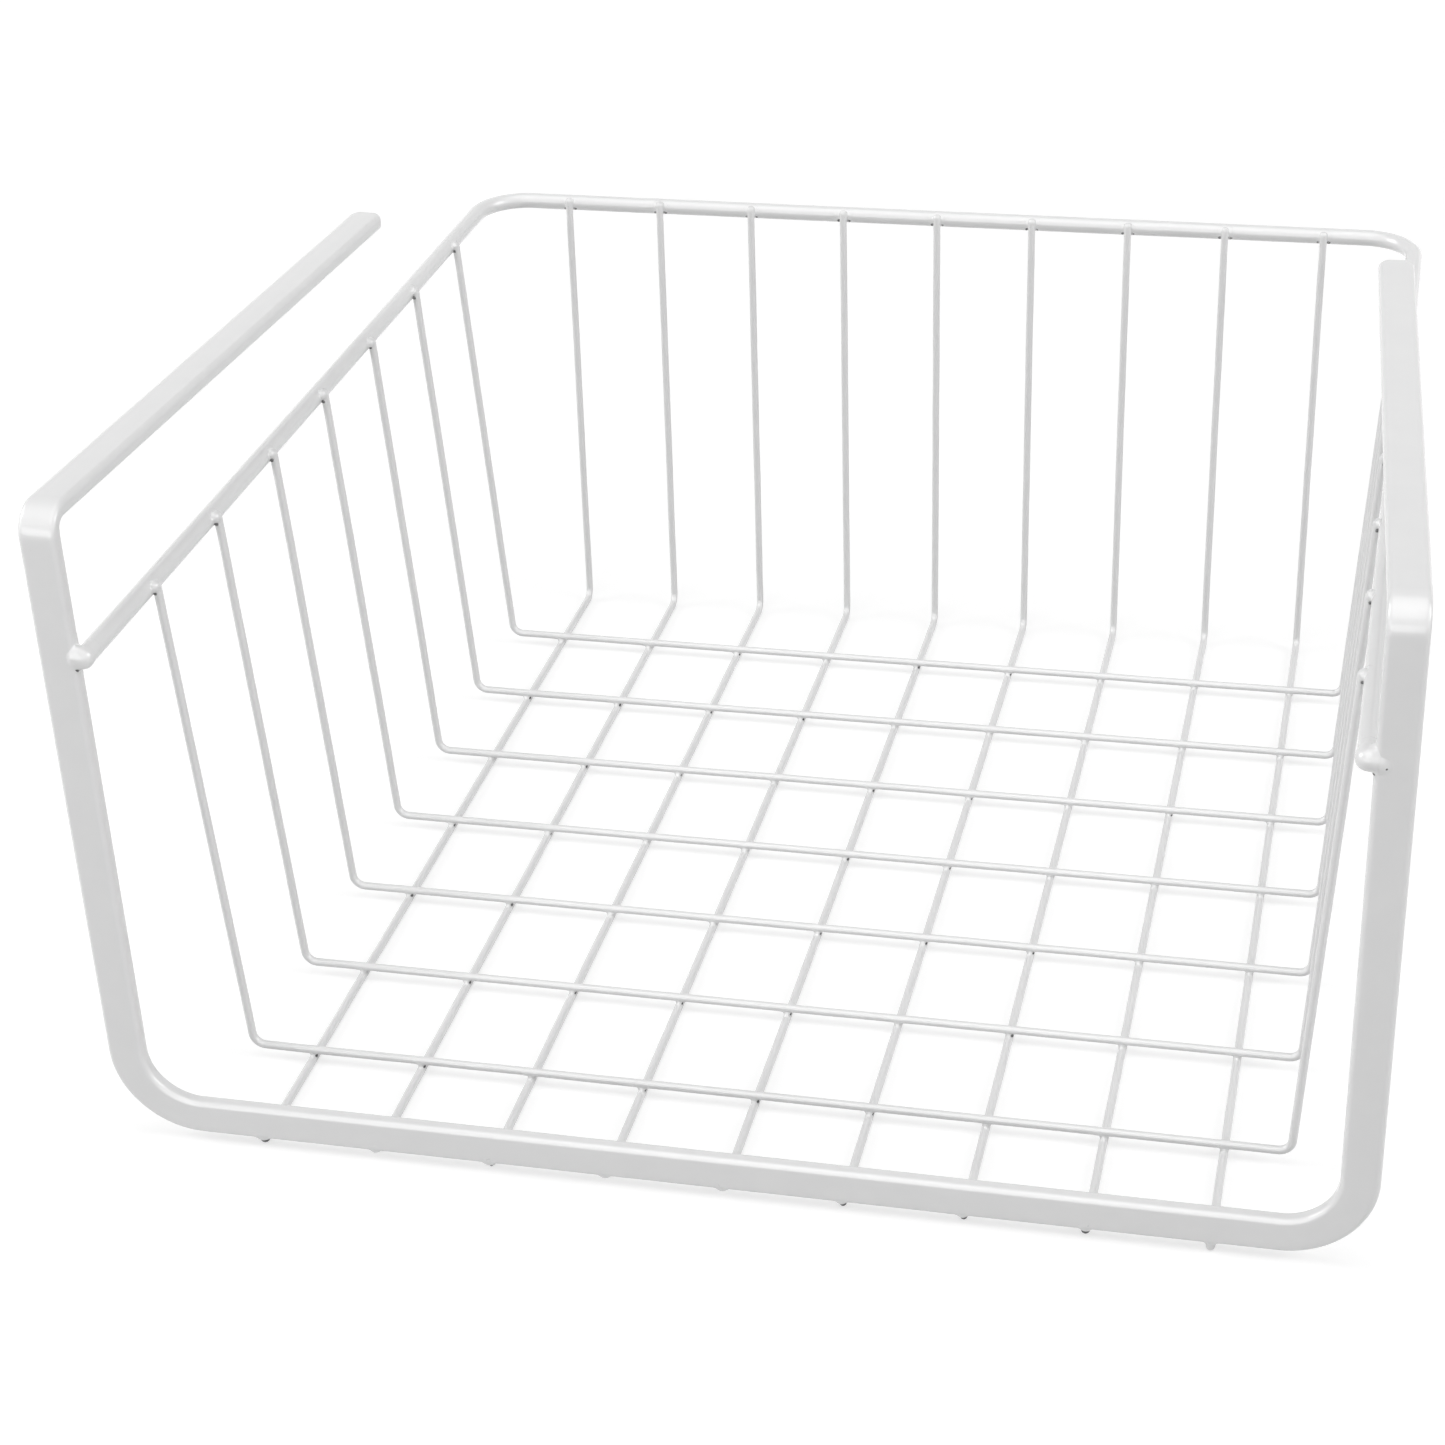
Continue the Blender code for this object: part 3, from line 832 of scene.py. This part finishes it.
def bar_weld(column, chance):
    """Where the bottom bar stands on a long wire, with the wire's front end."""
    x = long_wire_x(column)
    seat_z = 2 * WIRE_RADIUS + SEAT_GAP / 2
    fat = chance.uniform(*BAR_WELD_FAT_RANGE)
    blend = chance.uniform(*BAR_WELD_BLEND_RANGE) * MM
    end_y = long_wire_end_y(column)
    radius = LONG_WIRE_END_SPECKS[column - 1] * MM
    shade_specks = []
    # A dark speck painted as shade on the wire's front end under the bar
    if radius > 0.0:
        speck_x = x + chance.uniform(*END_SPECK_SHIFT_RANGE) * MM
        speck_y = end_y + END_SPECK_SETBACK * radius
        shade_specks.append(((speck_x, speck_y, radius), radius))
    wire_ends = ((x, end_y + WIRE_RADIUS, LONG_WIRE_Z), (x, SEAT_RUN, LONG_WIRE_Z))
    bar_middle = (0.0, 0.0, BAR_Z)
    nugget_radii = (1.5 * MM * fat, 1.7 * MM, 0.9 * MM)

    def distance(points):
        wire = to_capsule(points, *wire_ends, WIRE_RADIUS)
        bar = to_bar(
            points, bar_middle, BAR_THICKNESS / 2, BAR_WIDTH / 2, BAR_EDGE_RADIUS, (1, 2)
        )
        nugget = to_ellipsoid(points, (x, 0.0, seat_z), nugget_radii)
        return smooth_min(smooth_min(wire, bar, blend), nugget, BAR_NUGGET_BLEND)

    return weld_shell(distance, (x, 0.0, seat_z), BAR_WELD_REACH, WELD_DIVISIONS, shade_specks)


def rod_end_weld(side, lumps, specks):
    """Where one of the rim rod's turned-out ends is welded to its leg."""
    weld_y = ROD_ELBOW_RADIUS * (1 - math.sin(ROD_END_TURN)) - ROD_END_FORWARD
    leg_middle = (side * LEG_X, 0.0, 0.0)

    def place(offset):
        outward, along, above = offset
        return (side * (LEG_INNER_X + outward * MM), along * MM, RIM_HEIGHT + above * MM)

    def distance(points):
        leg = to_bar(
            points, leg_middle, BAR_WIDTH / 2, BAR_THICKNESS / 2, BAR_EDGE_RADIUS, (0, 1)
        )
        union = smooth_min(leg, to_elbow(points, side), ROD_END_BLEND)
        for offset, radii, blend in lumps:
            lump = to_ellipsoid(points, place(offset), [radius * MM for radius in radii])
            union = smooth_min(union, lump, blend * MM)
        return union

    # Dark specks painted as shade under the weld
    shade_specks = [(place(offset), radius * MM) for offset, radius in specks]
    centre = (side * (LEG_INNER_X - SEAT_GAP / 2), weld_y, RIM_HEIGHT)
    return weld_shell(distance, centre, ROD_END_REACH, ROD_END_DIVISIONS, shade_specks)


def all_welds():
    """The weld pieces' names and shells."""
    chance = random.Random(WELD_SEED)
    rows = range(1, CROSS_WIRE_COUNT + 1)
    columns = range(1, LONG_WIRE_COUNT + 1)
    crossings = [crossing_weld(row, column, chance) for row in rows for column in columns]
    tips = [side_tip_weld(row, side, chance) for row in rows for side in (-1, 1)]
    tips += [back_tip_weld(column, chance) for column in columns]
    seats = [bar_weld(column, chance) for column in columns]
    rod_ends = [
        rod_end_weld(-1, LEFT_END_LUMPS, LEFT_END_SPECKS),
        rod_end_weld(1, RIGHT_END_LUMPS, RIGHT_END_SPECKS),
    ]
    return {
        "floor_crossing_welds": crossings,
        "rim_tip_welds": tips,
        "bottom_bar_welds": seats,
        "rod_end_welds": rod_ends,
    }


# ---- materials


def powder_coat(name, seed):
    """White powder coat: a faint orange peel, slightly uneven gloss and tone, and painted shade
    in closed crevices and in the welds' dark specks.
    """
    material = bpy.data.materials.new(name)
    material.use_nodes = True
    nodes = material.node_tree.nodes
    links = material.node_tree.links
    shader = nodes["Principled BSDF"]
    shader.inputs["Metallic"].default_value = 0.0
    shader.inputs["IOR"].default_value = 1.5
    shader.inputs["Specular IOR Level"].default_value = 0.5
    shader.inputs["Coat Weight"].default_value = 0.9
    shader.inputs["Coat Roughness"].default_value = 0.13
    place = nodes.new("ShaderNodeTexCoord")
    shift = nodes.new("ShaderNodeMapping")
    shift.inputs["Location"].default_value = (seed * 0.37, seed * 0.53, seed * 0.71)
    links.new(place.outputs["Object"], shift.inputs["Vector"])

    def grain(scale, detail, roughness):
        texture = nodes.new("ShaderNodeTexNoise")
        texture.inputs["Scale"].default_value = scale
        texture.inputs["Detail"].default_value = detail
        texture.inputs["Roughness"].default_value = roughness
        links.new(shift.outputs["Vector"], texture.inputs["Vector"])
        return texture

    cloud = grain(TONE_SCALE, 3.0, 0.55)
    tone = nodes.new("ShaderNodeValToRGB")
    for stop, position, colour in zip(tone.color_ramp.elements, COAT_TONE_STOPS, COAT_TONES):
        stop.position = position
        stop.color = colour
    links.new(cloud.outputs["Fac"], tone.inputs["Fac"])
    # Painted shade: closed crevices found by the AO, and the welds' dark specks, are mixed
    # towards the dark tone
    crevice = nodes.new("ShaderNodeAmbientOcclusion")
    crevice.samples = CREVICE_SAMPLES
    crevice.inputs["Distance"].default_value = CREVICE_REACH
    crevice_unshaded = nodes.new("ShaderNodeMapRange")
    crevice_unshaded.interpolation_type = "SMOOTHSTEP"
    crevice_unshaded.inputs["From Min"].default_value = CREVICE_OPEN[0]
    crevice_unshaded.inputs["From Max"].default_value = CREVICE_OPEN[1]
    links.new(crevice.outputs["AO"], crevice_unshaded.inputs["Value"])
    shade_spot = nodes.new("ShaderNodeAttribute")
    shade_spot.attribute_name = "painted_shade"
    unshaded = nodes.new("ShaderNodeMath")
    unshaded.operation = "SUBTRACT"
    unshaded.use_clamp = True
    links.new(crevice_unshaded.outputs["Result"], unshaded.inputs[0])
    links.new(shade_spot.outputs["Fac"], unshaded.inputs[1])
    painted_shade = nodes.new("ShaderNodeMix")
    painted_shade.data_type = "RGBA"
    painted_shade.inputs["A"].default_value = PAINTED_SHADE_TONE
    links.new(unshaded.outputs["Value"], painted_shade.inputs["Factor"])
    links.new(tone.outputs["Color"], painted_shade.inputs["B"])
    links.new(painted_shade.outputs["Result"], shader.inputs["Base Color"])

    patch = grain(GLOSS_SCALE, 2.0, 0.5)
    gloss = nodes.new("ShaderNodeMapRange")
    gloss.inputs["From Min"].default_value = GLOSS_STOPS[0]
    gloss.inputs["From Max"].default_value = GLOSS_STOPS[1]
    gloss.inputs["To Min"].default_value = COAT_ROUGHNESS[0]
    gloss.inputs["To Max"].default_value = COAT_ROUGHNESS[1]
    links.new(patch.outputs["Fac"], gloss.inputs["Value"])
    links.new(gloss.outputs["Result"], shader.inputs["Roughness"])

    peel = grain(PEEL_SCALE, 2.0, 0.5)
    swell = grain(SWELL_SCALE, 1.0, 0.5)
    relief = nodes.new("ShaderNodeMath")
    relief.operation = "MULTIPLY_ADD"
    relief.inputs[1].default_value = SWELL_SHARE
    links.new(swell.outputs["Fac"], relief.inputs[0])
    links.new(peel.outputs["Fac"], relief.inputs[2])
    bump = nodes.new("ShaderNodeBump")
    bump.inputs["Strength"].default_value = RELIEF_STRENGTH
    bump.inputs["Distance"].default_value = RELIEF_HEIGHT
    links.new(relief.outputs["Value"], bump.inputs["Height"])
    links.new(bump.outputs["Normal"], shader.inputs["Normal"])
    return material


def dress(piece, seed):
    """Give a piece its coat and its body."""
    piece.data.materials.clear()
    piece.data.materials.append(powder_coat(piece.name + "_coat", seed))
    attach(piece, "root")


# ---- stage, light and camera


def build_floor():
    """White paper that shows only the shadow."""
    shape = bmesh.new()
    bmesh.ops.create_grid(shape, x_segments=4, y_segments=4, size=FLOOR_HALF_SIDE)
    floor = add_shape("floor", shape)
    floor.location = (0.0, 0.0, -FLOOR_DROP)
    material = bpy.data.materials.new("floor_paper")
    material.use_nodes = True
    nodes = material.node_tree.nodes
    links = material.node_tree.links
    nodes.clear()
    output = nodes.new("ShaderNodeOutputMaterial")
    ray = nodes.new("ShaderNodeLightPath")
    seen = nodes.new("ShaderNodeMath")
    seen.operation = "MAXIMUM"
    links.new(ray.outputs["Is Camera Ray"], seen.inputs[0])
    links.new(ray.outputs["Is Glossy Ray"], seen.inputs[1])
    matte = nodes.new("ShaderNodeBsdfDiffuse")
    matte.inputs["Color"].default_value = (FLOOR_GREY, FLOOR_GREY, FLOOR_GREY, 1.0)
    glow = nodes.new("ShaderNodeEmission")
    glow.inputs["Color"].default_value = (1.0, 1.0, 1.0, 1.0)
    strength = nodes.new("ShaderNodeMath")
    strength.operation = "MULTIPLY"
    place = nodes.new("ShaderNodeTexCoord")
    distance = nodes.new("ShaderNodeVectorMath")
    distance.operation = "LENGTH"
    links.new(place.outputs["Object"], distance.inputs[0])
    spread = nodes.new("ShaderNodeMapRange")
    spread.interpolation_type = "SMOOTHSTEP"
    spread.inputs["From Min"].default_value = FLOOR_NEAR
    spread.inputs["From Max"].default_value = FLOOR_AFAR
    spread.inputs["To Min"].default_value = FLOOR_GLOW
    spread.inputs["To Max"].default_value = FLOOR_GLOW_AFAR
    links.new(distance.outputs["Value"], spread.inputs["Value"])
    links.new(seen.outputs["Value"], strength.inputs[0])
    links.new(spread.outputs["Result"], strength.inputs[1])
    links.new(strength.outputs["Value"], glow.inputs["Strength"])
    both = nodes.new("ShaderNodeAddShader")
    links.new(matte.outputs["BSDF"], both.inputs[0])
    links.new(glow.outputs["Emission"], both.inputs[1])
    links.new(both.outputs["Shader"], output.inputs["Surface"])
    floor.data.materials.append(material)


def build_world():
    """A white sky, softer as a light than as it shows."""
    world = bpy.data.worlds.new("studio")
    bpy.context.scene.world = world
    world.use_nodes = True
    nodes = world.node_tree.nodes
    links = world.node_tree.links
    nodes.clear()
    output = nodes.new("ShaderNodeOutputWorld")
    sky = nodes.new("ShaderNodeBackground")
    sky.inputs["Color"].default_value = (1.0, 1.0, 1.0, 1.0)
    ray = nodes.new("ShaderNodeLightPath")
    seen = nodes.new("ShaderNodeMath")
    seen.operation = "MAXIMUM"
    links.new(ray.outputs["Is Camera Ray"], seen.inputs[0])
    links.new(ray.outputs["Is Glossy Ray"], seen.inputs[1])
    strength = nodes.new("ShaderNodeMapRange")
    strength.inputs["To Min"].default_value = SKY_LIGHT
    links.new(seen.outputs["Value"], strength.inputs["Value"])
    toward = nodes.new("ShaderNodeTexCoord")
    parts = nodes.new("ShaderNodeSeparateXYZ")
    links.new(toward.outputs["Generated"], parts.inputs["Vector"])
    front_to_back = nodes.new("ShaderNodeMapRange")
    front_to_back.interpolation_type = "SMOOTHSTEP"
    front_to_back.inputs["From Min"].default_value = SKY_TURNS[0]
    front_to_back.inputs["From Max"].default_value = SKY_TURNS[1]
    front_to_back.inputs["To Min"].default_value = SKY_SEEN_IN_FRONT
    front_to_back.inputs["To Max"].default_value = SKY_SEEN_BEHIND
    links.new(parts.outputs["Y"], front_to_back.inputs["Value"])
    links.new(front_to_back.outputs["Result"], strength.inputs["To Max"])
    links.new(strength.outputs["Result"], sky.inputs["Strength"])
    links.new(sky.outputs["Background"], output.inputs["Surface"])


def area_light(name, place, aim, width, height, power):
    """A lamp that the camera doesn't see."""
    light = bpy.data.lights.new(name, "AREA")
    light.shape = "RECTANGLE"
    light.size = width
    light.size_y = height
    light.energy = power
    lamp = bpy.data.objects.new(name, light)
    lamp.location = place
    direction = Vector(aim) - Vector(place)
    lamp.rotation_euler = direction.to_track_quat("-Z", "Y").to_euler()
    lamp.visible_camera = False
    bpy.context.scene.collection.objects.link(lamp)


def build_camera():
    """The photograph's camera."""
    sensor = bpy.data.cameras.new("photo_view")
    camera = bpy.data.objects.new("photo_view", sensor)
    cos_yaw, sin_yaw = math.cos(CAMERA_YAW), math.sin(CAMERA_YAW)
    cos_pitch, sin_pitch = math.cos(CAMERA_PITCH), math.sin(CAMERA_PITCH)
    ahead = Vector((sin_yaw * cos_pitch, cos_yaw * cos_pitch, sin_pitch))
    right = Vector((cos_yaw, -sin_yaw, 0.0))
    up = right.cross(ahead)
    cos_roll, sin_roll = math.cos(CAMERA_ROLL), math.sin(CAMERA_ROLL)
    rolled_right = right * cos_roll + up * sin_roll
    rolled_up = up * cos_roll - right * sin_roll
    turn = Matrix((rolled_right, rolled_up, -ahead)).transposed()
    camera.matrix_world = Matrix.Translation(CAMERA_PLACE) @ turn.to_4x4()
    sensor.sensor_fit = "HORIZONTAL"
    sensor.sensor_width = SENSOR_MM
    sensor.lens = CAMERA_FOCUS_PX / PHOTO_SIDE * SENSOR_MM
    sensor.shift_x = (PHOTO_SIDE / 2 - CAMERA_CENTRE_PX[0]) / PHOTO_SIDE
    sensor.shift_y = (CAMERA_CENTRE_PX[1] - PHOTO_SIDE / 2) / PHOTO_SIDE
    sensor.clip_start = 0.01
    sensor.clip_end = 50.0
    bpy.context.scene.collection.objects.link(camera)
    bpy.context.scene.camera = camera


def main():
    """Build and dress the pieces, then the stage, the light and the camera."""
    noise.seed_set(WANDER_SEED)
    seed = 1
    for number in range(1, CROSS_WIRE_COUNT + 1):
        wire = build_cross_wire(number)
        dress(wire, seed)
        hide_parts(f"cross_wire_{number}")
        seed += 1
    for number in range(1, LONG_WIRE_COUNT + 1):
        wire = build_long_wire(number)
        dress(wire, seed)
        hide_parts(f"long_wire_{number}")
        seed += 1
    rod = build_rim_rod()
    dress(rod, seed)
    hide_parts("rim_rod")
    hanger = build_hanger_frame()
    dress(hanger, seed + 1)
    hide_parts("hanger_frame")
    for name, shells in all_welds().items():
        dress(build_welds(name, shells), seed + 2)
    build_floor()
    build_world()
    for lamp in LAMPS:
        area_light(*lamp)
    build_camera()
    bpy.context.scene.view_settings.view_transform = "Standard"


main()
